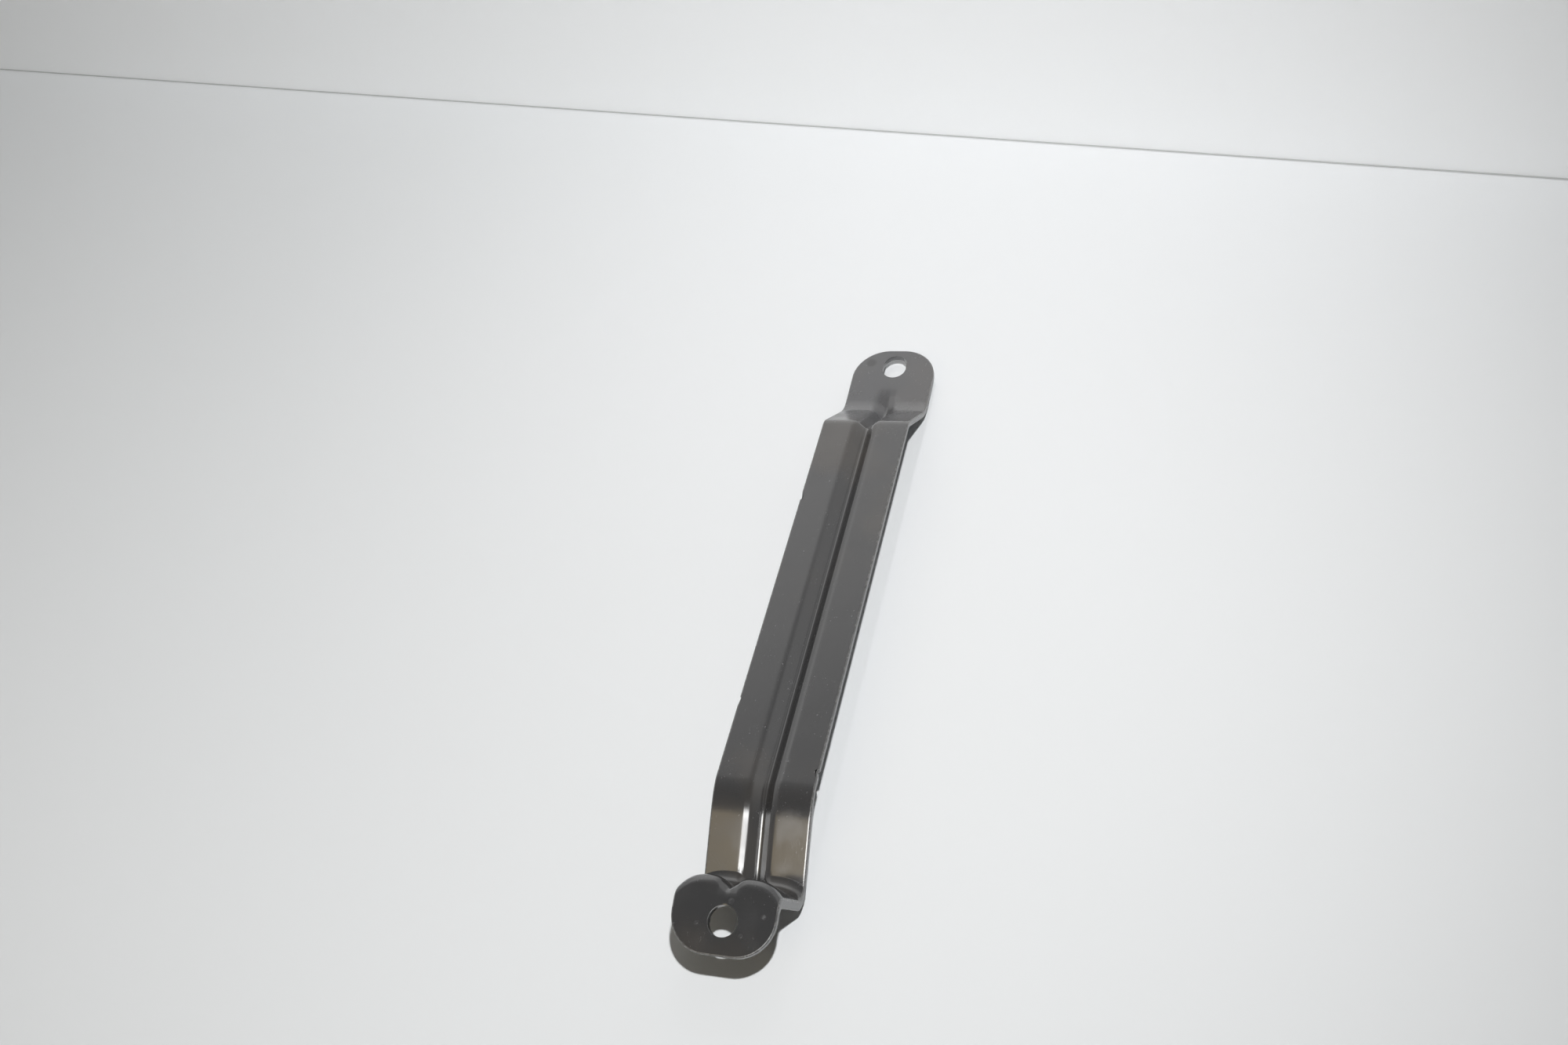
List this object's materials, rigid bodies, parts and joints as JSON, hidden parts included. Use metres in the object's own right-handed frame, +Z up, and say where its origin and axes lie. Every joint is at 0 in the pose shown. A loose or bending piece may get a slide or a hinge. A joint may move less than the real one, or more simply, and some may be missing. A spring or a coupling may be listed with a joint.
{
  "type": "car bracket",
  "caption": "Raised sheet-steel strap bracket with a bolt tab at each end and a V bead pressed along its length, coated black.",
  "frame": {"origin": "middle of the overall box at the height of the lowest point, the outside of the bead under the valley", "axes": "+X along the strap from the near tab (round hole) to the far tab (slotted hole), +Y across the strap, +Z up, square to the bridge"},
  "size_m": [0.245, 0.03, 0.0251],
  "materials": {
    "black_coat": "glossy black electro-coat, lightly scuffed"
  },
  "bodies": {
    "root": {"bracket_strap": "black_coat"}
  },
  "joints": []
}
